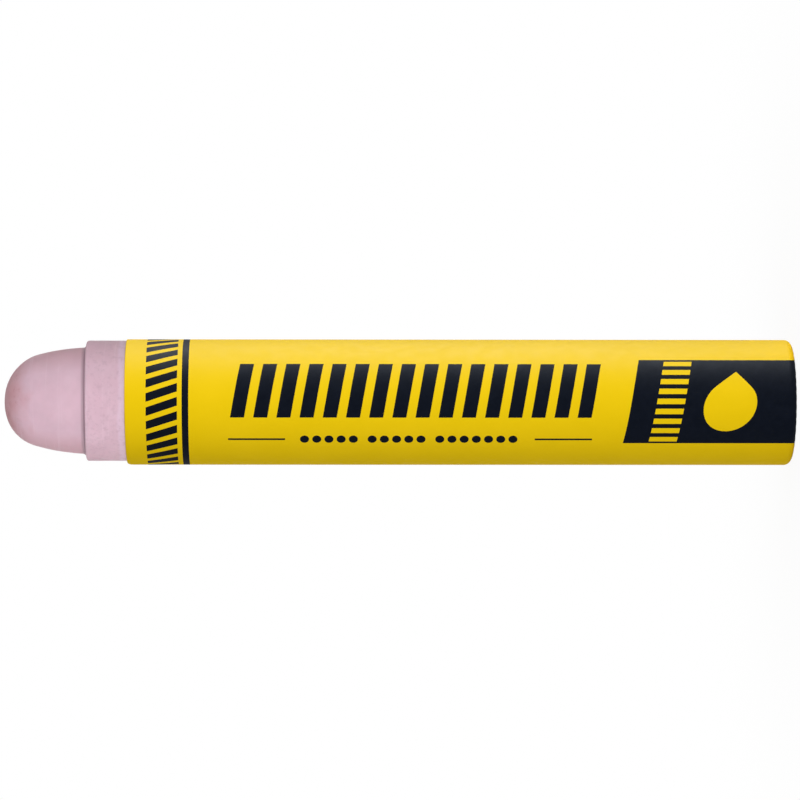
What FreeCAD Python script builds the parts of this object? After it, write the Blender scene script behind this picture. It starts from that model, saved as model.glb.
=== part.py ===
"""Solid paint marker: a stick of solid paint, cast in one piece, in a wound paper sleeve.

The marker stands on its rear end. The origin is the centre of that end and +Z runs along the
axis to the tip. Lengths are in millimetres and angles in degrees.
"""
import FreeCAD, Part
import math
import os

Vector = FreeCAD.Vector
Z_AXIS = Vector(0, 0, 1)

# Whole marker
overall_length = 120.65
stick_diameter = 18.48
bare_collar_length = 6.2

# Domed tip of the stick
dome_height = 12.65
shoulder_width = 1.13
nose_radius = 10.0
nose_width = 3.0
dome_radius = 6.8
flank_radius = 32.0
root_fillet = 0.5
shoulder_edge_radius = 0.4
rounding_share = 0.45  # most of the shoulder's width that either rounding may take

# Rear end, where the sleeve is turned in under the stick
rear_edge_radius = 0.7
lip_width = 2.0

# Paper, and the seam where its outermost turn ends
paper_thickness = 0.125
paper_turns = 3
lap_width = 6.0
lap_edge_angle = 150.0
lap_crease_angle = 3.0
lap_fade_length = 3.0

# Sizes that follow
wall = paper_thickness * paper_turns
stick_radius = stick_diameter / 2
sleeve_radius = stick_radius + wall
shoulder_z = overall_length - dome_height
sleeve_length = shoulder_z - bare_collar_length
root_radius = stick_radius - shoulder_width
root_rounding = min(root_fillet, rounding_share * shoulder_width)
shoulder_rounding = min(shoulder_edge_radius, rounding_share * shoulder_width)
flat_end_radius = stick_radius - rear_edge_radius
lip_inner_radius = flat_end_radius - lip_width
bend_radius = rear_edge_radius + wall


def in_section(r, z):
    """Point of the XZ half section at radius r and height z."""
    return Vector(r, 0, z)


def on_circle(centre, radius, angle):
    """Point of a circle in the half section, with the angle measured from +Z, in radians."""
    return centre + in_section(radius * math.sin(angle), radius * math.cos(angle))


def angle_at(centre, point):
    """Angle from +Z, in radians, at which a point of the half section lies about a centre."""
    return math.atan2(point.x - centre.x, point.z - centre.z)


def line(start, end):
    return Part.LineSegment(start, end).toShape()


def arc(centre, radius, first, last):
    """Arc in the half section between two angles from +Z, in radians."""
    middle = (first + last) / 2
    through = [on_circle(centre, radius, angle) for angle in (first, middle, last)]
    return Part.Arc(*through).toShape()


def revolved(edges):
    """Solid of revolution about Z of a closed chain of edges in the half section."""
    face = Part.Face(Part.Wire(edges))
    return face.revolve(Vector(), Z_AXIS, 360)


def tangent_centre(point, radius, inner_centre, inner_radius):
    """Centre of the circle through a point that holds a smaller circle, touching it inside.

    Of the two such circles, this is the one centred on the axis side of the point.
    """
    span = point - inner_centre
    distance = span.Length
    gap = radius - inner_radius
    along = (gap ** 2 - radius ** 2 + distance ** 2) / (2 * distance)
    across = math.sqrt(gap ** 2 - along ** 2)
    toward_point = span / distance
    sideways = in_section(-toward_point.z, toward_point.x)
    found = [inner_centre + toward_point * along + sideways * side for side in (across, -across)]
    return min(found, key=lambda centre: centre.x)


def dome_edges():
    """Flattened nose, round dome, crowned flank and concave root, from the tip down."""
    nose_centre = in_section(0, overall_length - nose_radius)
    nose_angle = math.asin(nose_width / 2 / nose_radius)
    dome_centre = on_circle(nose_centre, nose_radius - dome_radius, nose_angle)
    root = in_section(root_radius, shoulder_z)
    flank_centre = tangent_centre(root, flank_radius, dome_centre, dome_radius)
    dome_angle = angle_at(flank_centre, dome_centre)

    fillet_height = shoulder_z + root_rounding - flank_centre.z
    reach = math.sqrt((flank_radius + root_rounding) ** 2 - fillet_height ** 2)
    fillet_centre = flank_centre + in_section(reach, fillet_height)
    fillet_angle = angle_at(flank_centre, fillet_centre)

    edges = [
        arc(nose_centre, nose_radius, 0, nose_angle),
        arc(dome_centre, dome_radius, nose_angle, dome_angle),
        arc(flank_centre, flank_radius, dome_angle, fillet_angle),
        arc(fillet_centre, root_rounding, fillet_angle - math.pi, -math.pi),
    ]
    return edges, fillet_centre.x


def solid_paint():
    """The stick, cast in one piece: dome, shoulder, plain body and flat rear end."""
    edges, shoulder_start = dome_edges()
    top_centre = in_section(stick_radius - shoulder_rounding, shoulder_z - shoulder_rounding)
    rear_centre = in_section(flat_end_radius, bend_radius)
    edges += [
        line(in_section(shoulder_start, shoulder_z), in_section(top_centre.x, shoulder_z)),
        arc(top_centre, shoulder_rounding, 0, math.pi / 2),
        line(in_section(stick_radius, top_centre.z), in_section(stick_radius, rear_centre.z)),
        arc(rear_centre, rear_edge_radius, math.pi / 2, math.pi),
        line(in_section(flat_end_radius, wall), in_section(0, wall)),
        line(in_section(0, wall), in_section(0, overall_length)),
    ]
    return revolved(edges)


def wound_tube():
    """All full turns of the paper, with the rear edge turned in under the stick."""
    bend_centre = in_section(flat_end_radius, bend_radius)
    edges = [
        line(in_section(stick_radius, sleeve_length), in_section(sleeve_radius, sleeve_length)),
        line(in_section(sleeve_radius, sleeve_length), in_section(sleeve_radius, bend_radius)),
        arc(bend_centre, bend_radius, math.pi / 2, math.pi),
        line(in_section(flat_end_radius, 0), in_section(lip_inner_radius, 0)),
        line(in_section(lip_inner_radius, 0), in_section(lip_inner_radius, wall)),
        line(in_section(lip_inner_radius, wall), in_section(flat_end_radius, wall)),
        arc(bend_centre, rear_edge_radius, math.pi, math.pi / 2),
        line(in_section(stick_radius, bend_radius), in_section(stick_radius, sleeve_length)),
    ]
    return revolved(edges)


def around(radius, angle):
    """Point at a radius and an angle about Z, in radians, at the height of the rear bend."""
    return Vector(radius * math.cos(angle), radius * math.sin(angle), bend_radius)


def seam_lap():
    """The end of the outermost turn, lying over the turn below it.

    It climbs over the covered edge in a short straight run, follows the turn below to its own
    free edge, and is pressed flat just above the rear bend.
    """
    lap_radius = sleeve_radius + paper_thickness
    buried_radius = sleeve_radius - paper_thickness / 2
    climb_foot_radius = sleeve_radius * math.cos(math.radians(lap_crease_angle))
    free_edge = math.radians(lap_edge_angle)
    climb_top = free_edge - lap_width / lap_radius
    climb_foot = climb_top - math.acos(climb_foot_radius / lap_radius)
    lap_middle = (climb_top + free_edge) / 2
    buried_middle = (climb_foot + free_edge) / 2

    outline = Part.Wire([
        line(around(buried_radius, climb_foot), around(climb_foot_radius, climb_foot)),
        line(around(climb_foot_radius, climb_foot), around(lap_radius, climb_top)),
        Part.Arc(around(lap_radius, climb_top), around(lap_radius, lap_middle),
                 around(lap_radius, free_edge)).toShape(),
        line(around(lap_radius, free_edge), around(buried_radius, free_edge)),
        Part.Arc(around(buried_radius, free_edge), around(buried_radius, buried_middle),
                 around(buried_radius, climb_foot)).toShape(),
    ])
    strip = Part.Face(outline).extrude(Z_AXIS * (sleeve_length - bend_radius))
    fade_slope = (lap_radius - buried_radius) / lap_fade_length
    fade = Part.makeCone(buried_radius, buried_radius + sleeve_length * fade_slope, sleeve_length,
                         Vector(0, 0, bend_radius))
    return strip.common(fade)


def paper_sleeve():
    return wound_tube().fuse(seam_lap()).removeSplitter()


def single_solid(shape):
    """The one solid of a shape, as it is written to file."""
    solids = shape.Solids
    if len(solids) != 1:
        raise ValueError("expected one solid, found %d" % len(solids))
    return solids[0]


nodes = {
    "solid_paint": solid_paint(),
    "paper_sleeve": paper_sleeve(),
}

os.makedirs("parts", exist_ok=True)
for name, shape in nodes.items():
    single_solid(shape).exportStep("parts/" + name + ".step")
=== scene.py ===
"""Dressed scene of a solid paint marker: the cast stick of paint, the wound paper sleeve with its
print, and a plain studio.

Sizes are in millimetres, and meshes are scaled to metres as they are made. The marker stands on
its rear end. The photograph shows it lying on its side, so the camera is rolled: in the picture
the tip points left and +X points up.
"""
import math

import bpy
from mathutils import Matrix, Vector, noise
from mathutils.geometry import delaunay_2d_cdt


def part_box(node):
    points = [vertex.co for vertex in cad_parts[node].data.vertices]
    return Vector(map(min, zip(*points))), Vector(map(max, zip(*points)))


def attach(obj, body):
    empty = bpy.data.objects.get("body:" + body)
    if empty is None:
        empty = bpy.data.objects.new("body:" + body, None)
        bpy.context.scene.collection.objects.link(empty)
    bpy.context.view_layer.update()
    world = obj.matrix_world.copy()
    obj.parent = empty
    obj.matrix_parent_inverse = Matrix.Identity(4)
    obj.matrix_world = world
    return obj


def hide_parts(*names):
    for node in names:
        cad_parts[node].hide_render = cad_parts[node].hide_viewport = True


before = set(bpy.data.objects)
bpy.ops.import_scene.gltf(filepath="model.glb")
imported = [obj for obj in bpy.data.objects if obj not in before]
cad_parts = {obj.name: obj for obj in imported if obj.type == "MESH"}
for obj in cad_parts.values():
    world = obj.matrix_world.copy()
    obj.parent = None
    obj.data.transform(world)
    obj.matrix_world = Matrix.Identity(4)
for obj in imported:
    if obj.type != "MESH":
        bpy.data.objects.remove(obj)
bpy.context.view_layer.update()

MM = 0.001
TOUCHING = 1e-6  # points that are nearer than this are the same point

# Taken from the frame
stick_low, stick_high = (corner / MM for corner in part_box("solid_paint"))
sleeve_low, sleeve_high = (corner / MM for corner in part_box("paper_sleeve"))
STICK_RADIUS = stick_high.x
STICK_REAR = stick_low.z
TIP = stick_high.z
SLEEVE_RADIUS = sleeve_high.x
SLEEVE_FRONT = sleeve_high.z
WALL = SLEEVE_RADIUS - STICK_RADIUS

# Section of the stick
DOME_HEIGHT = 12.65
NOSE_RADIUS = 10.0
NOSE_WIDTH = 3.0
DOME_RADIUS = 6.8
FLANK_RADIUS = 32.0
SHOULDER_WIDTH = 1.07
ROOT_FILLET = 0.7
SHOULDER_ROUNDING = 0.36
TOP_ROOT_FILLET = 0.52  # toward +X, where the root is sharper and the shoulder rounder
TOP_SHOULDER_ROUNDING = 0.46
TOP_FALL = 3  # how fast this section gives way to the other one round the stick
REAR_ROUNDING = 0.7
SHOULDER = TIP - DOME_HEIGHT
REAR_FLAT_RADIUS = STICK_RADIUS - REAR_ROUNDING

# Steps of the stick's mesh, down its section and round it
NOSE_STEPS = 12
DOME_STEPS = 60
FLANK_STEPS = 42
ROOT_STEPS = 16
SHOULDER_STEPS = 2
SHOULDER_ROUNDING_STEPS = 12
COLLAR_STEPS = 52
COLLAR_END = SLEEVE_FRONT - 1.0  # a little inside the sleeve, which hides the rest
HIDDEN_STEPS = 17
REAR_ROUNDING_STEPS = 16
REAR_STEPS = 22
STICK_SEGMENTS = 300

# Unevenness of the stick
SHOULDER_SAG = -0.08  # of the shoulder's height toward -Y and +Y
SHOULDER_LIFT = 0.15  # from there to its height toward +X and -X
SHOULDER_TILT = 0.03  # higher toward +X and lower toward -X
SHOULDER_REACH = 3.0  # along the stick, over which the shoulder's unevenness is lost
LEAN = 0.18  # of the stick toward +X, where it leaves the sleeve
STRAIGHT_NOSE = 5.5  # length of tip over which the lean is lost again
CAST_INSET = 0.02  # of the cast surface from its true form
CAST_LUMPS = (  # size, depth and place in the noise
    (6.0, 0.03, (0, 0, 0)),
    (2.2, 0.012, (7, 3, 1)),
    (0.7, 0.004, (2, 9, 4)),
)
CALM_RADIUS = 2.0  # about the axis, within which the lumps fade

# Places in the paint's colour
NOSE_BLUSH_AND_SHADE_LENGTH = 4.2  # of nose, over which the paint grows redder in its own colour and darker with painted shade
NOSE_BLUSH_AND_SHADE_WANDER = 1.2
ROOT_SHADE_HEIGHTS = (0.7, 0.1)  # over the shoulder, between which painted shade darkens the dome's root
STRIP_HEIGHTS = (1.3, 0.9)  # over the sleeve, between which the strip along it grows paler
STRIP_WANDER = 0.2
SIDE_SHADE_BLEND = 0.5  # each way from the shoulder, over which the painted shade on the sides grows fainter

# Sleeve
PAPER_THICKNESS = 0.125
PAPER_TURNS = 3
LIP_WIDTH = 2.0
LAP_WIDTH = 6.0
LAP_EDGE_ANGLE = math.radians(150)
LAP_CREASE_ANGLE = math.radians(3)
LAP_FADE_LENGTH = 3.0
FRONT_ROUNDING = 0.15
SOFT_DEPTH = 0.13  # by which the front edge is bent in further at its softest, toward -X
SOFT_LENGTH = 0.65  # by which the bend there is longer
FRONT_SKEW = 0.07  # half of what the edge's crooked cut leaves standing out toward +X
SKEW_LENGTH = 10.0  # of sleeve, over which the print is skewed with the edge
TURN_GROOVE = 0.03  # between the turns that show at the front edge
PLEATS = 40
PLEAT_DEPTH = 0.14
PLEAT_WANDER = 2.5  # radians of a pleat's wave by which its place may vary
PLEAT_PATCHES = 4  # fineness of that variation
BEND_PLEAT_SHARE = 0.25  # of their depth, that the pleats have where the bend ends
FRONT_ANGLE = math.radians(-90)  # of the front line, which runs along the side that the camera sees
BEND_RADIUS = REAR_ROUNDING + WALL
BEND_START = SLEEVE_FRONT - BEND_RADIUS
BEND_LENGTH = BEND_RADIUS * math.pi / 2
LIP_INNER_RADIUS = SLEEVE_RADIUS - BEND_RADIUS - LIP_WIDTH
SHEET_LENGTH = BEND_START + BEND_LENGTH + LIP_WIDTH
SHEET_END = (LAP_EDGE_ANGLE - FRONT_ANGLE) * SLEEVE_RADIUS
SHEET_START = SHEET_END - 2 * math.pi * SLEEVE_RADIUS
LAP_RADIUS = SLEEVE_RADIUS + PAPER_THICKNESS

# Steps of the sleeve's mesh
FRONT_ROWS = (0, 0.06, 0.2, 0.4, 0.65, 1)  # shares of the front rounding
SOFT_ROWS = (0.12, 0.25, 0.4, 0.6, 0.8, 1)  # shares of its extra length where it is softest
WALL_ROWS = 100
BEND_ROWS = 10
LIP_ROWS = 8
SLEEVE_SEGMENTS = 240
TURN_STEPS = 6
LINING_LIP_STEPS = 2
LINING_BEND_STEPS = 11
NORMAL_STEP = 0.01  # each way along the sheet, over which its normal is measured

# Print, in the flat sheet: up round the sleeve from the front line, and back from the front edge
SLANT = math.tan(math.radians(10))
TRIM = 1.0  # by which print runs past the sheet's edges before it is trimmed
TICKS_AT = (3.2, 7.9)
TICK_WIDTH = 1.32
TICK_PITCH = 2.15
TICK_LEAN = 1.6
BAND_AT = (8.6, 9.6)
BARS_AT = (16.3, 71.0)
BARS_UP = (-2.36, 6.22)
BAR_COUNT = 16
BAR_GAP = 1.38
RULE_UP = -6.0
RULE_WIDTH = 0.32
FRONT_RULE_AT = (15.57, 24.2)
REAR_RULE_AT = (62.05, 70.75)
DOT_RADIUS = 0.69
DOT_PITCH = 1.85
DOT_GROUPS = ((27.15, 5), (37.4, 5), (47.65, 7))  # each group's first dot and its count
PANEL_UP = (-6.73, 7.05)
PANEL_FRONT = 76.64
RUNGS_AT = (80.5, 84.75)
RUNG_WIDTH = 0.84
RUNG_COUNT = 9
DROP_AT = 91.7
DROP_UP = (-4.53, 4.86)
DROP_RADIUS = 4.0
PRINT_STEP = 0.4  # the longest side that a printed outline has once it is divided
DOT_CORNERS = 24
DROP_CORNERS = 40
PANEL_BEND_STEPS = 8
INSIDE_OUTLINES = 1  # the kind of cut that keeps only what lies inside an outline
CUT_TOLERANCE = 1e-5

# The sleeve's materials, in their order on the mesh
PAPER, INK, CUT_EDGE = range(3)

# Camera and studio
CAMERA_DISTANCE = 600.0
CAMERA_LENS = 175.8
CAMERA_SENSOR = 36.0
CAMERA_YAW = math.radians(1.0)
CAMERA_ROLL = math.radians(-0.05)
VIEW_CENTRE = Vector((0.336, 0.0, 60.05))
FLOOR_RADIUS = 350.0
FLOOR_CORNERS = 96
FLOOR_COLOUR = (0.92, 0.92, 0.92, 1)
FLOOR_SHADE = 0.08  # how much of the shadow the floor shows under the marker
FLOOR_SHADE_RADIUS = 0.95 * FLOOR_RADIUS
FLOOR_SHADE_FALL = 8.0
WORLD_LEVEL = 0.66
WORLD_OVERHEAD = 0.45
DARK_SIDE_ANGLE = -130  # of the world's darker side, from the camera's side toward +X
DARK_SIDE_SHARE = 0.25
DARK_SIDE_EDGE = (0.2, 0.85)  # cosines from its middle, over which the light falls off
WHITE = (1, 1, 1, 1)


def eased(share):
    """A share from 0 to 1 that starts and ends softly."""
    return share ** 2 * (3 - 2 * share)


def on_circle(centre, radius, angle):
    """Point of a circle in the half section, as (radius, height), at an angle from +Z."""
    return centre[0] + radius * math.sin(angle), centre[1] + radius * math.cos(angle)


def angle_at(centre, point):
    """Angle from +Z at which a point of the half section lies about a centre."""
    return math.atan2(point[0] - centre[0], point[1] - centre[1])


def arc(centre, radius, first, last, steps):
    """Points along an arc of the half section, both ends included."""
    return [on_circle(centre, radius, first + (last - first) * i / steps)
            for i in range(steps + 1)]


def run(start, end, steps):
    """Points along a straight run of the half section, both ends included."""
    start, end = Vector(start), Vector(end)
    return [tuple(start.lerp(end, i / steps)) for i in range(steps + 1)]


def flank_centre_for(root, dome_centre):
    """Centre of the flank's arc, which ends at the root and meets the dome's arc smoothly."""
    span = Vector(root) - Vector(dome_centre)
    gap = FLANK_RADIUS - DOME_RADIUS
    along = (gap ** 2 - FLANK_RADIUS ** 2 + span.length ** 2) / (2 * span.length)
    across = math.sqrt(gap ** 2 - along ** 2)
    forward = span.normalized()
    sideways = Vector((-forward.y, forward.x))
    found = [Vector(dome_centre) + forward * along + sideways * side for side in (across, -across)]
    return tuple(min(found, key=lambda centre: centre.x))


def stick_profile(root_fillet, shoulder_rounding):
    """Half section of the stick from the tip down to the middle of its rear end.

    Sections with other roundings have as many points, so that one can be blended into another.
    """
    nose_centre = (0.0, TIP - NOSE_RADIUS)
    nose_angle = math.asin(NOSE_WIDTH / 2 / NOSE_RADIUS)
    dome_centre = on_circle(nose_centre, NOSE_RADIUS - DOME_RADIUS, nose_angle)
    root = (STICK_RADIUS - SHOULDER_WIDTH, SHOULDER)
    flank_centre = flank_centre_for(root, dome_centre)
    dome_angle = angle_at(flank_centre, dome_centre)
    fillet_height = SHOULDER + root_fillet - flank_centre[1]
    reach = math.sqrt((FLANK_RADIUS + root_fillet) ** 2 - fillet_height ** 2)
    fillet_centre = (flank_centre[0] + reach, flank_centre[1] + fillet_height)
    fillet_angle = angle_at(flank_centre, fillet_centre)
    top_centre = (STICK_RADIUS - shoulder_rounding, SHOULDER - shoulder_rounding)
    rear_centre = (REAR_FLAT_RADIUS, STICK_REAR + REAR_ROUNDING)
    collar_end = (STICK_RADIUS, COLLAR_END)

    runs = [
        arc(nose_centre, NOSE_RADIUS, 0, nose_angle, NOSE_STEPS),
        arc(dome_centre, DOME_RADIUS, nose_angle, dome_angle, DOME_STEPS),
        arc(flank_centre, FLANK_RADIUS, dome_angle, fillet_angle, FLANK_STEPS),
        arc(fillet_centre, root_fillet, fillet_angle - math.pi, -math.pi, ROOT_STEPS),
        run((fillet_centre[0], SHOULDER), (top_centre[0], SHOULDER), SHOULDER_STEPS),
        arc(top_centre, shoulder_rounding, 0, math.pi / 2, SHOULDER_ROUNDING_STEPS),
        run((STICK_RADIUS, top_centre[1]), collar_end, COLLAR_STEPS),
        run(collar_end, (STICK_RADIUS, rear_centre[1]), HIDDEN_STEPS),
        arc(rear_centre, REAR_ROUNDING, math.pi / 2, math.pi, REAR_ROUNDING_STEPS),
        run((REAR_FLAT_RADIUS, STICK_REAR), (0.0, STICK_REAR), REAR_STEPS),
    ]
    return runs[0] + [point for following in runs[1:] for point in following[1:]]


def uneven_height(height, toward_x):
    """Where a height of the section lies at an angle, given the angle's cosine from +X."""
    near = max(0.0, 1 - abs(height - SHOULDER) / SHOULDER_REACH)
    rise = SHOULDER_SAG + SHOULDER_LIFT * toward_x ** 2 + SHOULDER_TILT * toward_x
    return height + rise * eased(near)


def lean(height):
    """How far toward +X the stick's axis lies at a height: it sits a little crooked."""
    from_tip = min(1.0, (TIP - height) / STRAIGHT_NOSE)
    return LEAN * height / SLEEVE_FRONT * eased(from_tip)


def cast_relief(point):
    """How far the cast surface lies inside its true form."""
    return sum((depth * noise.noise(point / size + Vector(shift))
                for size, depth, shift in CAST_LUMPS), CAST_INSET)


def mesh_object(name, vertices, faces):
    """A smooth-shaded mesh in the scene, from points in millimetres."""
    mesh = bpy.data.meshes.new(name)
    mesh.from_pydata([Vector(vertex) * MM for vertex in vertices], [], faces)
    mesh.shade_smooth()
    piece = bpy.data.objects.new(name, mesh)
    bpy.context.scene.collection.objects.link(piece)
    return piece


def cast_stick():
    """The stick of paint, revolved finely and given the soft unevenness of a casting."""
    profile = stick_profile(ROOT_FILLET, SHOULDER_ROUNDING)
    top_profile = stick_profile(TOP_ROOT_FILLET, TOP_SHOULDER_ROUNDING)
    rings = len(profile) - 2
    vertices = [(0.0, 0.0, TIP)]
    for i in range(1, rings + 1):
        before, after = profile[i - 1], profile[i + 1]
        tangent = Vector((after[0] - before[0], after[1] - before[1])).normalized()
        outward = Vector((-tangent.y, tangent.x))
        for k in range(STICK_SEGMENTS):
            turn = 2 * math.pi * k / STICK_SEGMENTS
            across = Vector((math.cos(turn), math.sin(turn), 0))
            toward_x = math.cos(turn)
            top_share = ((1 + toward_x) / 2) ** TOP_FALL
            radius, height = Vector(profile[i]).lerp(Vector(top_profile[i]), top_share)
            height = uneven_height(height, toward_x)
            point = across * radius + Vector((0, 0, height))
            normal = across * outward.x + Vector((0, 0, outward.y))
            relief = cast_relief(point) * min(1.0, radius / CALM_RADIUS)
            vertices.append(point - normal * relief + Vector((lean(height), 0, 0)))
    vertices.append((0.0, 0.0, STICK_REAR))
    rear_middle = len(vertices) - 1

    def corner(ring, k):
        return 1 + ring * STICK_SEGMENTS + k % STICK_SEGMENTS

    faces = []
    for k in range(STICK_SEGMENTS):
        faces.append((0, corner(0, k), corner(0, k + 1)))
        faces.append((corner(rings - 1, k), rear_middle, corner(rings - 1, k + 1)))
        for ring in range(rings - 1):
            faces.append((corner(ring, k), corner(ring + 1, k),
                          corner(ring + 1, k + 1), corner(ring, k + 1)))
    return mesh_object("cast_paint", vertices, faces)


def outside_radius(angle, back):
    """Radius of the sleeve's outside at an angle and a distance back along it, with the lap."""
    behind_edge = LAP_EDGE_ANGLE - angle
    lap_span = LAP_WIDTH / LAP_RADIUS
    foot_radius = SLEEVE_RADIUS * math.cos(LAP_CREASE_ANGLE)
    foot = lap_span + math.acos(foot_radius / LAP_RADIUS)
    if behind_edge <= lap_span:
        radius = LAP_RADIUS
    elif behind_edge < foot:
        radius = foot_radius / math.cos(foot - behind_edge)
    else:
        radius = SLEEVE_RADIUS
    height_above_bend = BEND_START - back
    buried = SLEEVE_RADIUS - PAPER_THICKNESS / 2
    pressed = buried + height_above_bend * (LAP_RADIUS - buried) / LAP_FADE_LENGTH
    return max(SLEEVE_RADIUS, min(radius, pressed))


def bent(back):
    """Angle that the sheet has turned through on the rear bend, and its radius there."""
    turned = max(0.0, min(back - BEND_START, BEND_LENGTH)) / BEND_RADIUS
    return turned, SLEEVE_RADIUS - BEND_RADIUS * (1 - math.cos(turned))


def pleat_rise(angle, share):
    """How far the gathered lip lifts off its plane, at a share of the pleats' full depth."""
    uneven = noise.noise(Vector((math.cos(angle), math.sin(angle), 0)) * PLEAT_PATCHES)
    phase = PLEATS * angle + PLEAT_WANDER * uneven
    fold = (0.5 + 0.5 * math.cos(phase)) ** 2
    return PLEAT_DEPTH * fold * share


def front_softness(angle):
    """How much of its extra bend and length the rounding of the front edge has at an angle."""
    return (0.5 - 0.5 * math.cos(angle)) ** 2


def front_depth(angle):
    """How far the rounding of the front edge reaches in at an angle."""
    return FRONT_ROUNDING + SOFT_DEPTH * front_softness(angle)


def front_skew(angle):
    """How far the front edge stands out at an angle beyond a square cut."""
    return FRONT_SKEW * (1 + math.cos(angle))


def sheet_point(up, back):
    """Where a point of the flat sheet lies on the wound sleeve's outside."""
    angle = FRONT_ANGLE + up / SLEEVE_RADIUS
    if back <= BEND_START:
        radius = outside_radius(angle, back)
        short = 1 - back / (FRONT_ROUNDING + SOFT_LENGTH * front_softness(angle))
        if short > 0:
            radius -= front_depth(angle) * (1 - math.sqrt(1 - short ** 2))
        height = SLEEVE_FRONT - back + front_skew(angle) * max(0.0, 1 - back / SKEW_LENGTH)
    elif back <= BEND_START + BEND_LENGTH:
        turned, radius = bent(back)
        height = BEND_RADIUS * (1 - math.sin(turned))
        height += pleat_rise(angle, BEND_PLEAT_SHARE * (turned / (math.pi / 2)) ** 2)
    else:
        along = back - BEND_START - BEND_LENGTH
        radius = SLEEVE_RADIUS - BEND_RADIUS - along
        height = pleat_rise(angle, BEND_PLEAT_SHARE + (1 - BEND_PLEAT_SHARE) * along / LIP_WIDTH)
    return Vector((radius * math.cos(angle), radius * math.sin(angle), height))


def sheet_normal(up, back):
    """Outward normal of the wound sleeve at a point of the flat sheet."""
    low_up, high_up = max(SHEET_START, up - NORMAL_STEP), min(SHEET_END, up + NORMAL_STEP)
    low_back, high_back = max(0.0, back - NORMAL_STEP), min(SHEET_LENGTH, back + NORMAL_STEP)
    round_it = sheet_point(high_up, back) - sheet_point(low_up, back)
    along_it = sheet_point(up, high_back) - sheet_point(up, low_back)
    return along_it.cross(round_it).normalized()


def slanted(outline):
    """An outline leaned over as all the print is: its upper parts lie further back."""
    return [(up, back + up * SLANT) for up, back in outline]


def box_outline(low_up, high_up, front, rear):
    """A rectangle on the sheet."""
    return [(low_up, front), (high_up, front), (high_up, rear), (low_up, rear)]


def round_outline(up, back, radius, first, last, steps):
    """Points along an arc about a point of the sheet, both ends included."""
    turns = [first + (last - first) * i / steps for i in range(steps + 1)]
    return [(up + radius * math.cos(turn), back + radius * math.sin(turn)) for turn in turns]


def evenly(span, count, gap):
    """Where each shape starts and ends, in a row of equal shapes that fills a span."""
    width = (span[1] - span[0] - gap * (count - 1)) / count
    starts = [span[0] + i * (width + gap) for i in range(count)]
    return [(start, start + width) for start in starts]


def tick_outlines():
    """The ring of leaning ticks near the front edge, which ends short of the sheet's sides."""
    front, rear = TICKS_AT
    room = SHEET_END - SHEET_START - TICK_WIDTH - TICK_LEAN
    count = int(room / TICK_PITCH) + 1
    first = SHEET_START + (room - (count - 1) * TICK_PITCH) / 2
    lows = [first + i * TICK_PITCH for i in range(count)]
    return [[(low, front), (low + TICK_WIDTH, front),
             (low + TICK_WIDTH + TICK_LEAN, rear), (low + TICK_LEAN, rear)] for low in lows]


def dot_outlines():
    """The rows of dots between the two rules."""
    turn = 2 * math.pi
    return [round_outline(RULE_UP, first + i * DOT_PITCH, DOT_RADIUS, 0, turn, DOT_CORNERS)[:-1]
            for first, count in DOT_GROUPS for i in range(count)]


def panel_edge(up, back):
    """Where one of the panel's edges lies, which spreads round the bend and so looks straight."""
    _, radius = bent(back)
    return SLEEVE_RADIUS * math.asin(SLEEVE_RADIUS * math.sin(up / SLEEVE_RADIUS) / radius)


def panel_outline():
    """The slanted dark panel, which goes on round the bend and under the rear end."""
    low, high = PANEL_UP
    backs = [BEND_START + BEND_LENGTH * i / PANEL_BEND_STEPS for i in range(PANEL_BEND_STEPS + 1)]
    backs.append(SHEET_LENGTH + TRIM)
    outline = slanted([(low, PANEL_FRONT), (high, PANEL_FRONT)])
    outline += [(panel_edge(high, back), back) for back in backs]
    outline += [(panel_edge(low, back), back) for back in reversed(backs)]
    return outline


def drop_outline():
    """A drop of paint, round below and drawn to a point above."""
    low, high = DROP_UP
    centre = low + DROP_RADIUS
    tangent = math.acos(DROP_RADIUS / (high - centre))
    return [(high, DROP_AT)] + round_outline(centre, DROP_AT, DROP_RADIUS,
                                             tangent, 2 * math.pi - tangent, DROP_CORNERS)


def dark_print():
    """Outlines of all that is printed dark, apart from the band."""
    rule_low, rule_high = RULE_UP - RULE_WIDTH / 2, RULE_UP + RULE_WIDTH / 2
    bars = evenly(BARS_AT, BAR_COUNT, BAR_GAP)
    outlines = tick_outlines()
    outlines += [slanted(box_outline(*BARS_UP, *bar)) for bar in bars]
    outlines += [box_outline(rule_low, rule_high, *rule) for rule in (FRONT_RULE_AT, REAR_RULE_AT)]
    outlines += dot_outlines()
    outlines.append(panel_outline())
    return outlines


def light_print():
    """Outlines of what is left yellow inside the dark panel."""
    low, high = PANEL_UP
    gap = (high - low - RUNG_COUNT * RUNG_WIDTH) / RUNG_COUNT
    rungs = evenly((low + gap / 2, high - gap / 2), RUNG_COUNT, gap)
    outlines = [slanted(box_outline(*rung, *RUNGS_AT)) for rung in rungs]
    outlines.append(slanted(drop_outline()))
    return outlines


def divided(outline):
    """An outline with points added, so that it follows the sleeve's curve."""
    points = []
    for start, end in zip(outline, outline[1:] + outline[:1]):
        start, end = Vector(start), Vector(end)
        count = max(1, math.ceil((end - start).length / PRINT_STEP))
        points += [start.lerp(end, i / count) for i in range(count)]
    return points


def sheet_rows():
    """Distances back from the front edge at which the sheet has a row of points.

    They include the band's edges, so that the sheet's two sides have the same points.
    """
    rows = [FRONT_ROUNDING * share for share in FRONT_ROWS]
    rows += [FRONT_ROUNDING + SOFT_LENGTH * share for share in SOFT_ROWS]
    softened = rows[-1]
    rows += [softened + (BEND_START - softened) * i / WALL_ROWS for i in range(1, WALL_ROWS + 1)]
    rows += [BEND_START + BEND_LENGTH * i / BEND_ROWS for i in range(1, BEND_ROWS + 1)]
    rows += [SHEET_LENGTH - LIP_WIDTH * (LIP_ROWS - i) / LIP_ROWS for i in range(1, LIP_ROWS + 1)]
    return sorted(rows + list(BAND_AT))


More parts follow.
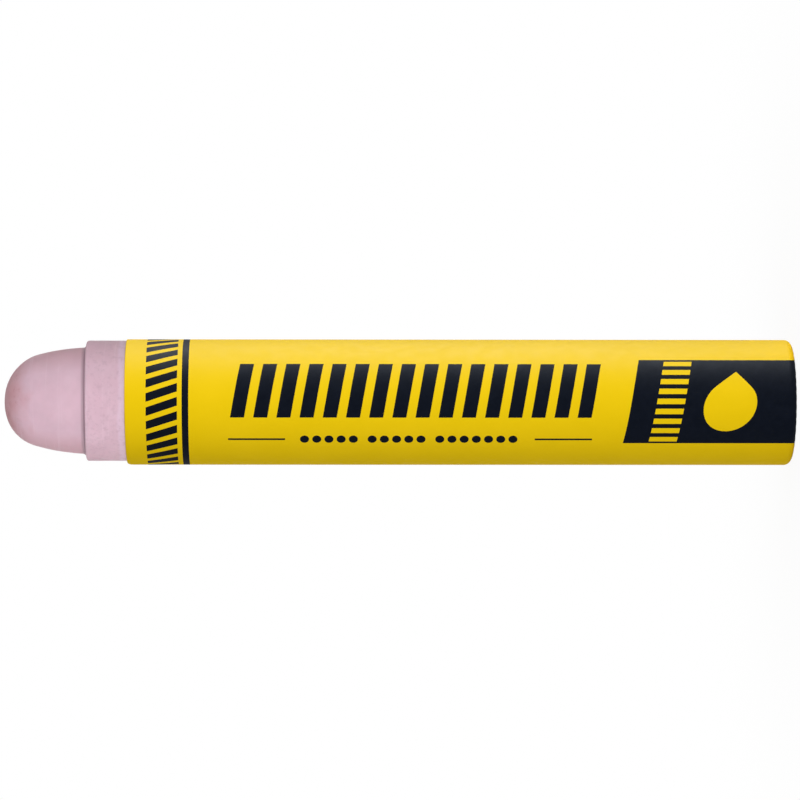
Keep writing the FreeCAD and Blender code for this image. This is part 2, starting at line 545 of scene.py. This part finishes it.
def sheet_columns():
    """Distances up round the sleeve at which the sheet has a column of points.

    Two are moved to the panel's edges, so that the sheet's two ends have the same points.
    """
    width = SHEET_END - SHEET_START
    columns = [SHEET_START + width * k / SLEEVE_SEGMENTS for k in range(SLEEVE_SEGMENTS + 1)]
    for up in PANEL_UP:
        edge = panel_edge(up, SHEET_LENGTH)
        nearest = min(range(len(columns)), key=lambda k: abs(columns[k] - edge))
        columns[nearest] = edge
    return columns


def printed_sheet(rows, columns):
    """The flat sheet cut along the print: its points, its triangles and the material of each."""
    points = [Vector((up, back)) for back in rows for up in columns]
    whole = box_outline(SHEET_START, SHEET_END, 0, SHEET_LENGTH)
    band = box_outline(SHEET_START - TRIM, SHEET_END + TRIM, *BAND_AT)
    outlines = [(PAPER, whole), (INK, band)]
    outlines += [(INK, divided(outline)) for outline in dark_print()]
    outlines += [(PAPER, divided(outline)) for outline in light_print()]
    places = []
    for _, outline in outlines:
        places.append(list(range(len(points), len(points) + len(outline))))
        points += [Vector(point) for point in outline]
    flat, _, triangles, _, _, sources = delaunay_2d_cdt(
        points, [], places, INSIDE_OUTLINES, CUT_TOLERANCE, True)
    # A triangle's sources are the outlines that it lies in. It has the last one's material, and
    # is trimmed off if it lies outside the first, which is the sheet's own.
    kept = [(triangle, outlines[max(source)][0]) for triangle, source in zip(triangles, sources)
            if 0 in source]
    used = sorted({corner for triangle, _ in kept for corner in triangle})
    new_place = {corner: i for i, corner in enumerate(used)}
    return ([flat[corner] for corner in used],
            [[new_place[corner] for corner in triangle] for triangle, _ in kept],
            [material for _, material in kept])


def leaned(radius, height, angle):
    """Where the leaning stick's surface lies, for a radius of its section."""
    return radius + lean(height) * math.cos(angle)


def ring(angles, radius_at, height_at):
    """Points round the axis, whose radius and height go with the angle."""
    return [Vector((radius_at(a) * math.cos(a), radius_at(a) * math.sin(a), height_at(a)))
            for a in angles]


def seam_lines(rows):
    """The sheet's two sides, from the front edge back to where the lap is pressed flat."""
    sides = [[sheet_point(up, back) for back in rows] for up in (SHEET_START, SHEET_END)]
    lapped = sum((end - start).length > TOUCHING for start, end in zip(*sides))
    return [side[:lapped + 1] for side in sides]


def front_edge_rings(angles):
    """The cut front edge from the paint outward, with grooves between its turns."""
    steps = PAPER_TURNS * TURN_STEPS
    rings = []
    for i in range(steps + 1):
        share = i / steps
        turn = share * PAPER_TURNS
        dip = TURN_GROOVE * (1 - math.sin(math.pi * (turn % 1))) if 0 < i < steps else 0.0
        rings.append(ring(angles,
                          lambda a: (leaned(STICK_RADIUS, SLEEVE_FRONT, a) * (1 - share)
                                     + (outside_radius(a, 0) - front_depth(a)) * share),
                          lambda a: SLEEVE_FRONT + front_skew(a) - dip))
    return rings


def lip_edge_rings(angles):
    """The lip's cut edge, from the plane that the marker stands on up to the paint."""
    return [ring(angles, lambda a: LIP_INNER_RADIUS, lambda a: pleat_rise(a, 1)),
            ring(angles, lambda a: leaned(LIP_INNER_RADIUS, WALL, a), lambda a: WALL)]


def lining_rings(angles):
    """The sleeve's inside against the paint: over the lip, round the bend and up the wall."""
    section = run((LIP_INNER_RADIUS, WALL), (REAR_FLAT_RADIUS, WALL), LINING_LIP_STEPS)[:-1]
    section += reversed(arc((REAR_FLAT_RADIUS, BEND_RADIUS), REAR_ROUNDING,
                            math.pi / 2, math.pi, LINING_BEND_STEPS))
    rings = [ring(angles, lambda a: leaned(radius, height, a), lambda a: height)
             for radius, height in section]
    rings.append(ring(angles, lambda a: leaned(STICK_RADIUS, SLEEVE_FRONT, a),
                      lambda a: SLEEVE_FRONT + front_skew(a)))
    return rings


def grid_faces(lines, first):
    """Faces between lines that have as many points each, numbered from the first point on.

    Where two corners of a face are the same point, it is a triangle.
    """
    width = len(lines[0])
    faces = []
    for i in range(len(lines) - 1):
        for k in range(width - 1):
            corners = [(i, k), (i + 1, k), (i + 1, k + 1), (i, k + 1)]
            points = [lines[row][column] for row, column in corners]
            faces.append([first + row * width + column for (row, column), point, following
                          in zip(corners, points, points[1:] + points[:1])
                          if (point - following).length > TOUCHING])
    return faces


def wound_sleeve():
    """The sleeve: printed outside, cut edges with their turns, and the inside against the paint."""
    rows = sheet_rows()
    columns = sheet_columns()
    flat, triangles, materials = printed_sheet(rows, columns)
    vertices = [sheet_point(up, back) for up, back in flat]
    normals = [sheet_normal(up, back) for up, back in flat]
    faces = [tuple(reversed(triangle)) for triangle in triangles]

    angles = [FRONT_ANGLE + up / SLEEVE_RADIUS for up in columns]
    front_edge = front_edge_rings(angles)
    front_step = [[line[0] for line in front_edge], [line[-1] for line in front_edge]]
    for lines in (seam_lines(rows), front_edge, front_step,
                  lip_edge_rings(angles), lining_rings(angles)):
        faces += grid_faces(lines, len(vertices))
        for line in lines:
            vertices += line
    # A zero normal leaves these faces to the mesh's own shading.
    normals += [Vector()] * (len(vertices) - len(normals))
    materials += [CUT_EDGE] * (len(faces) - len(materials))

    piece = mesh_object("printed_sleeve", vertices, faces)
    piece.data.polygons.foreach_set("material_index", materials)
    piece.data.normals_split_custom_set_from_vertices(normals)
    return piece


class Nodes:
    """A material's or world's node tree, with short ways to add nodes and join them."""

    def __init__(self, owner):
        owner.use_nodes = True
        self.tree = owner.node_tree
        self.tree.nodes.clear()

    def add(self, kind, inputs=None, **settings):
        """A new node, with values or other nodes' outputs for inputs given by name or place."""
        node = self.tree.nodes.new(kind)
        for name, value in settings.items():
            setattr(node, name, value)
        for name, value in (inputs or {}).items():
            socket = node.inputs[name]
            if isinstance(value, bpy.types.NodeSocket):
                self.tree.links.new(value, socket)
            else:
                socket.default_value = value
        return node

    def surface(self, inputs):
        """The principled shader, as the material's surface."""
        shader = self.add("ShaderNodeBsdfPrincipled", inputs)
        self.add("ShaderNodeOutputMaterial", {"Surface": shader.outputs["BSDF"]})

    def place(self):
        """The point's place on the object, which patterns follow."""
        return self.add("ShaderNodeTexCoord").outputs["Object"]

    def math(self, operation, *values):
        node = self.add("ShaderNodeMath", dict(enumerate(values)), operation=operation)
        return node.outputs["Value"]

    def vector(self, operation, output, *values):
        node = self.add("ShaderNodeVectorMath", dict(enumerate(values)), operation=operation)
        return node.outputs[output]

    def stretched(self, coordinates, scale):
        node = self.add("ShaderNodeMapping", {"Vector": coordinates, "Scale": scale})
        return node.outputs["Vector"]

    def noise(self, coordinates, scale, detail=2.0, roughness=0.5):
        node = self.add("ShaderNodeTexNoise", {"Vector": coordinates, "Scale": scale,
                                               "Detail": detail, "Roughness": roughness})
        return node.outputs["Fac"]

    def ranged(self, value, start, end, first=0, last=1):
        """Goes from first to last while a value goes from start to end."""
        node = self.add("ShaderNodeMapRange", {"Value": value, "From Min": start, "From Max": end,
                                               "To Min": first, "To Max": last})
        return node.outputs["Result"]

    def varied(self, coordinates, scale, detail=2.0, roughness=0.5, over=(0.3, 0.7), to=(0, 1)):
        """Noise ranged to two values. Nearly all noise lies between 0.3 and 0.7."""
        return self.ranged(self.noise(coordinates, scale, detail, roughness), *over, *to)

    def blended(self, factor, first, second):
        node = self.add("ShaderNodeMix", {"Factor": factor, "A": first, "B": second},
                        data_type="RGBA")
        return node.outputs["Result"]

    def bump(self, height, strength, distance, under=None):
        """A bumped normal, which may lie on another one."""
        inputs = {"Strength": strength, "Distance": distance, "Height": height}
        if under:
            inputs["Normal"] = under
        return self.add("ShaderNodeBump", inputs).outputs["Normal"]

    def seen_rays(self):
        """1 for rays that show the surroundings, directly or in a gloss, and 0 for all others."""
        path = self.add("ShaderNodeLightPath").outputs
        direct = self.math("MAXIMUM", path["Is Camera Ray"], path["Is Glossy Ray"])
        return self.math("MAXIMUM", direct, path["Is Transmission Ray"])


def rgb(red, green, blue):
    """A colour given as its screen values from 0 to 255, as the linear values that nodes take."""
    def linear(value):
        share = value / 255
        return share / 12.92 if share <= 0.04045 else ((share + 0.055) / 1.055) ** 2.4
    return (linear(red), linear(green), linear(blue), 1.0)


def stick_places(nodes, place):
    """A point's height, its cosine from +X, and its height above the uneven shoulder."""
    axes = nodes.add("ShaderNodeSeparateXYZ", {"Vector": place}).outputs
    reach = nodes.vector("LENGTH", "Value", nodes.vector("MULTIPLY", "Vector", place, (1, 1, 0)))
    toward_x = nodes.math("DIVIDE", axes["X"], reach)
    lift = nodes.math("MULTIPLY", nodes.math("POWER", toward_x, 2.0), SHOULDER_LIFT * MM)
    tilt = nodes.math("MULTIPLY", toward_x, SHOULDER_TILT * MM)
    even_height = nodes.math("SUBTRACT", axes["Z"], nodes.math("ADD", lift, tilt))
    above = nodes.math("SUBTRACT", even_height, (SHOULDER + SHOULDER_SAG) * MM)
    return axes["Z"], toward_x, above


def cast_paint_material():
    """Waxy pink paint, mottled and faintly scratched. The nose is redder, partly in its own colour
    and partly as painted shade, and painted shade darkens the dome's root and the +X and -X sides.
    """
    material = bpy.data.materials.new("cast_paint")
    nodes = Nodes(material)
    place = nodes.place()
    height, toward_x, above = stick_places(nodes, place)
    on_dome = nodes.math("GREATER_THAN", above, 0.0)
    on_body = nodes.math("SUBTRACT", 1.0, on_dome)

    # The nose grows redder, partly the paint's own tone and partly painted shade where it turns
    # away from the light.
    patches = nodes.varied(place, scale=260, to=(-NOSE_BLUSH_AND_SHADE_WANDER * MM, NOSE_BLUSH_AND_SHADE_WANDER * MM))
    nose_blush_and_shade = nodes.ranged(nodes.math("ADD", height, patches),
                         (TIP - NOSE_BLUSH_AND_SHADE_LENGTH) * MM, TIP * MM, last=0.98)
    # Painted shade: darker and redder toward +X and -X, strongest on the dome and fainter on the
    # collar.
    sides = nodes.ranged(nodes.math("ABSOLUTE", toward_x), 0.58, 1.0, last=0.65)
    over_dome = nodes.ranged(above, -SIDE_SHADE_BLEND * MM, SIDE_SHADE_BLEND * MM, first=0.4)
    worn = nodes.varied(place, scale=900, detail=3, roughness=0.7, over=(0.52, 0.68), to=(0, 0.5))
    # Painted shade in the crease at the dome's root, beside the collar's step.
    painted_root_shade = nodes.ranged(above, *(height * MM for height in ROOT_SHADE_HEIGHTS), last=0.85)
    wander = nodes.varied(place, scale=250, to=(-STRIP_WANDER * MM, STRIP_WANDER * MM))
    strip = nodes.ranged(nodes.math("ADD", height, wander),
                         *((SLEEVE_FRONT + over) * MM for over in STRIP_HEIGHTS), last=0.6)
    rings = nodes.noise(nodes.stretched(place, (60, 60, 2600)), scale=1)
    scratches = nodes.ranged(rings, 0.6, 0.75, last=0.3)
    specks = nodes.varied(place, scale=1300, detail=3, roughness=0.7,
                          over=(0.5, 0.68), to=(0, 0.55))

    mottle = nodes.varied(place, scale=330, detail=3, roughness=0.6)
    colour = nodes.blended(mottle, rgb(215, 183, 197), rgb(223, 191, 205))
    for share, tint in (
            # the nose's own redder tone, with painted shade
            (nose_blush_and_shade, rgb(206, 153, 159)),
            # painted shade on the sides
            (nodes.math("MULTIPLY", sides, over_dome), rgb(204, 156, 163)),
            (nodes.math("MULTIPLY", worn, nose_blush_and_shade), rgb(186, 128, 134)),
            # painted shade at the dome's root
            (nodes.math("MULTIPLY", painted_root_shade, on_dome), rgb(158, 130, 142)),
            (strip, rgb(226, 200, 219)),
            (scratches, rgb(232, 206, 218)),
            (nodes.math("MULTIPLY", specks, on_body), rgb(201, 168, 183))):
        colour = nodes.blended(share, colour, tint)

    grain = nodes.bump(nodes.noise(place, scale=1900, detail=3), strength=0.25, distance=0.06 * MM)
    nodes.surface({
        "Base Color": colour,
        "Roughness": nodes.varied(place, scale=420, to=(0.46, 0.56)),
        "Specular IOR Level": 0.04,
        "Subsurface Weight": 0.5,
        "Subsurface Radius": (1.0, 0.7, 0.8),
        "Subsurface Scale": 1.5 * MM,
        "Normal": nodes.bump(rings, strength=0.35, distance=0.03 * MM, under=grain),
    })
    return material


def coated_paper_material():
    """Yellow coated paper with a faint fibre."""
    material = bpy.data.materials.new("coated_paper")
    nodes = Nodes(material)
    place = nodes.place()
    cloud = nodes.varied(place, scale=160, detail=3)
    fibre = nodes.noise(place, scale=2400, detail=4, roughness=0.65)
    nodes.surface({
        "Base Color": nodes.blended(cloud, (0.935, 0.635, 0.0035, 1), (0.965, 0.655, 0.005, 1)),
        "Roughness": nodes.varied(place, scale=700, to=(0.6, 0.68)),
        "Specular IOR Level": 0.035,
        "Normal": nodes.bump(fibre, strength=0.12, distance=0.04 * MM),
    })
    return material


def ink_material():
    """Near-black print, a little smoother than the paper under it."""
    material = bpy.data.materials.new("printed_ink")
    nodes = Nodes(material)
    place = nodes.place()
    cover = nodes.varied(place, scale=900, detail=4, roughness=0.6)
    fibre = nodes.noise(place, scale=2400, detail=4, roughness=0.65)
    nodes.surface({
        "Base Color": nodes.blended(cover, (0.0042, 0.006, 0.0115, 1), (0.0062, 0.0085, 0.0155, 1)),
        "Roughness": nodes.varied(place, scale=700, to=(0.56, 0.64)),
        "Specular IOR Level": 0.03,
        "Specular Tint": (0.8, 0.9, 1.0, 1.0),
        "Normal": nodes.bump(fibre, strength=0.08, distance=0.04 * MM),
    })
    return material


def cut_edge_material():
    """The paper's uncoated inside and its cut edges."""
    material = bpy.data.materials.new("cut_paper")
    nodes = Nodes(material)
    fibre = nodes.noise(nodes.place(), scale=3000, detail=4, roughness=0.7)
    nodes.surface({
        "Base Color": nodes.blended(fibre, (0.62, 0.5, 0.2, 1), (0.78, 0.7, 0.45, 1)),
        "Roughness": 0.85,
        "Specular IOR Level": 0.2,
        "Normal": nodes.bump(fibre, strength=0.4, distance=0.04 * MM),
    })
    return material


def floor_material():
    """White where it is seen, with a faint shadow, and pale to all other light."""
    material = bpy.data.materials.new("floor")
    nodes = Nodes(material)
    distance = nodes.vector("LENGTH", "Value", nodes.place())
    nearness = nodes.ranged(distance, 0, FLOOR_SHADE_RADIUS * MM, first=1, last=0)
    fallen = nodes.math("POWER", nearness, FLOOR_SHADE_FALL)
    whiteness = nodes.math("SUBTRACT", 1.0, nodes.math("MULTIPLY", fallen, FLOOR_SHADE))
    lit = nodes.add("ShaderNodeBsdfDiffuse", {"Color": FLOOR_COLOUR})
    white = nodes.add("ShaderNodeEmission", {"Color": WHITE, "Strength": 1.0})
    shader = nodes.add("ShaderNodeMixShader", {
        0: nodes.math("MULTIPLY", nodes.seen_rays(), whiteness),
        1: lit.outputs["BSDF"],
        2: white.outputs["Emission"],
    })
    nodes.add("ShaderNodeOutputMaterial", {"Surface": shader.outputs["Shader"]})
    return material


def studio_floor():
    """A round floor on the plane that the marker stands on."""
    turns = [2 * math.pi * i / FLOOR_CORNERS for i in range(FLOOR_CORNERS)]
    corners = [(FLOOR_RADIUS * math.cos(turn), FLOOR_RADIUS * math.sin(turn), 0.0)
               for turn in turns]
    floor = mesh_object("floor", corners, [tuple(range(FLOOR_CORNERS))])
    floor.data.materials.append(floor_material())
    return floor


def studio_world():
    """White where it is seen, and a dimmer light on the object, dimmest above and at one side."""
    world = bpy.data.worlds.new("studio")
    nodes = Nodes(world)
    direction = nodes.add("ShaderNodeTexCoord").outputs["Generated"]
    height = nodes.add("ShaderNodeSeparateXYZ", {"Vector": direction}).outputs["Z"]
    level = nodes.ranged(height, 0, 1, WORLD_LEVEL, WORLD_OVERHEAD)
    angle = FRONT_ANGLE + math.radians(DARK_SIDE_ANGLE)
    dark_side = (math.cos(angle), math.sin(angle), 0)
    into_dark = nodes.vector("DOT_PRODUCT", "Value", direction, dark_side)
    side_share = nodes.ranged(into_dark, *DARK_SIDE_EDGE, 1, DARK_SIDE_SHARE)
    ambient = nodes.math("MULTIPLY", level, side_share)
    strength = nodes.add("ShaderNodeMix", {"Factor": nodes.seen_rays(), "A": ambient, "B": 1.0})
    sky = nodes.add("ShaderNodeBackground", {"Color": WHITE,
                                             "Strength": strength.outputs["Result"]})
    nodes.add("ShaderNodeOutputWorld", {"Surface": sky.outputs["Background"]})
    bpy.context.scene.world = world


def soft_lamp(name, angle_up, height, distance, size, level, piece=None, use="body"):
    """A large lamp beside the marker, at an angle from the camera's side toward +X.

    The level is the brightness that it alone gives to a white surface facing it. Where a piece
    is given, the lamp lights that piece alone. Its use is to light a surface's body or its gloss.
    """
    angle = FRONT_ANGLE + math.radians(angle_up)
    place = Vector((distance * math.cos(angle), distance * math.sin(angle), height))
    light = bpy.data.lights.new(name, "AREA")
    light.shape = "RECTANGLE"
    light.size, light.size_y = (length * MM for length in size)
    light.energy = level * math.pi ** 2 * (distance * MM) ** 2
    lamp = bpy.data.objects.new(name, light)
    lamp.location = place * MM
    lamp.rotation_euler = (VIEW_CENTRE - place).to_track_quat("-Z", "Y").to_euler()
    lamp.visible_camera = False
    lamp.visible_diffuse = use != "gloss"
    lamp.visible_glossy = use != "body"
    if piece:
        lit = bpy.data.collections.new(name)
        lit.objects.link(piece)
        lamp.light_linking.receiver_collection = lit
    bpy.context.scene.collection.objects.link(lamp)


def photo_camera():
    """Rolled so that the tip points left and +X up, and set a little nearer to the tip."""
    forward = Vector((0, math.cos(CAMERA_YAW), -math.sin(CAMERA_YAW)))
    up = Matrix.Rotation(CAMERA_ROLL, 3, forward) @ Vector((1, 0, 0))
    right = forward.cross(up)
    camera = bpy.data.objects.new("camera", bpy.data.cameras.new("camera"))
    camera.data.lens = CAMERA_LENS
    camera.data.sensor_width = CAMERA_SENSOR
    camera.matrix_world = Matrix((right, up, -forward)).transposed().to_4x4()
    camera.location = (VIEW_CENTRE - forward * CAMERA_DISTANCE) * MM
    bpy.context.scene.collection.objects.link(camera)
    bpy.context.scene.camera = camera


paint = cast_stick()
paint.data.materials.append(cast_paint_material())
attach(paint, "root")
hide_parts("solid_paint")

sleeve = wound_sleeve()
for material in (coated_paper_material(), ink_material(), cut_edge_material()):
    sleeve.data.materials.append(material)
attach(sleeve, "root")
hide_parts("paper_sleeve")

studio_floor()
studio_world()
soft_lamp("front_lamp", angle_up=26, height=50, distance=380, size=(230, 90), level=0.4,
          piece=sleeve)
soft_lamp("top_lamp", angle_up=78, height=130, distance=600, size=(300, 240), level=0.08,
          piece=sleeve)
soft_lamp("low_lamp", angle_up=-85, height=80, distance=400, size=(200, 120), level=0.08)
soft_lamp("top_gloss", angle_up=94, height=44, distance=320, size=(290, 80), level=6.6,
          piece=sleeve, use="gloss")
soft_lamp("paint_lamp", angle_up=-6, height=40, distance=350, size=(200, 80), level=0.52,
          piece=paint)
soft_lamp("low_paint_lamp", angle_up=-122, height=110, distance=400, size=(200, 120), level=0.17,
          piece=paint)
soft_lamp("back_lamp", angle_up=180, height=130, distance=700, size=(420, 240), level=0.3)
photo_camera()
bpy.context.scene.view_settings.view_transform = "Standard"
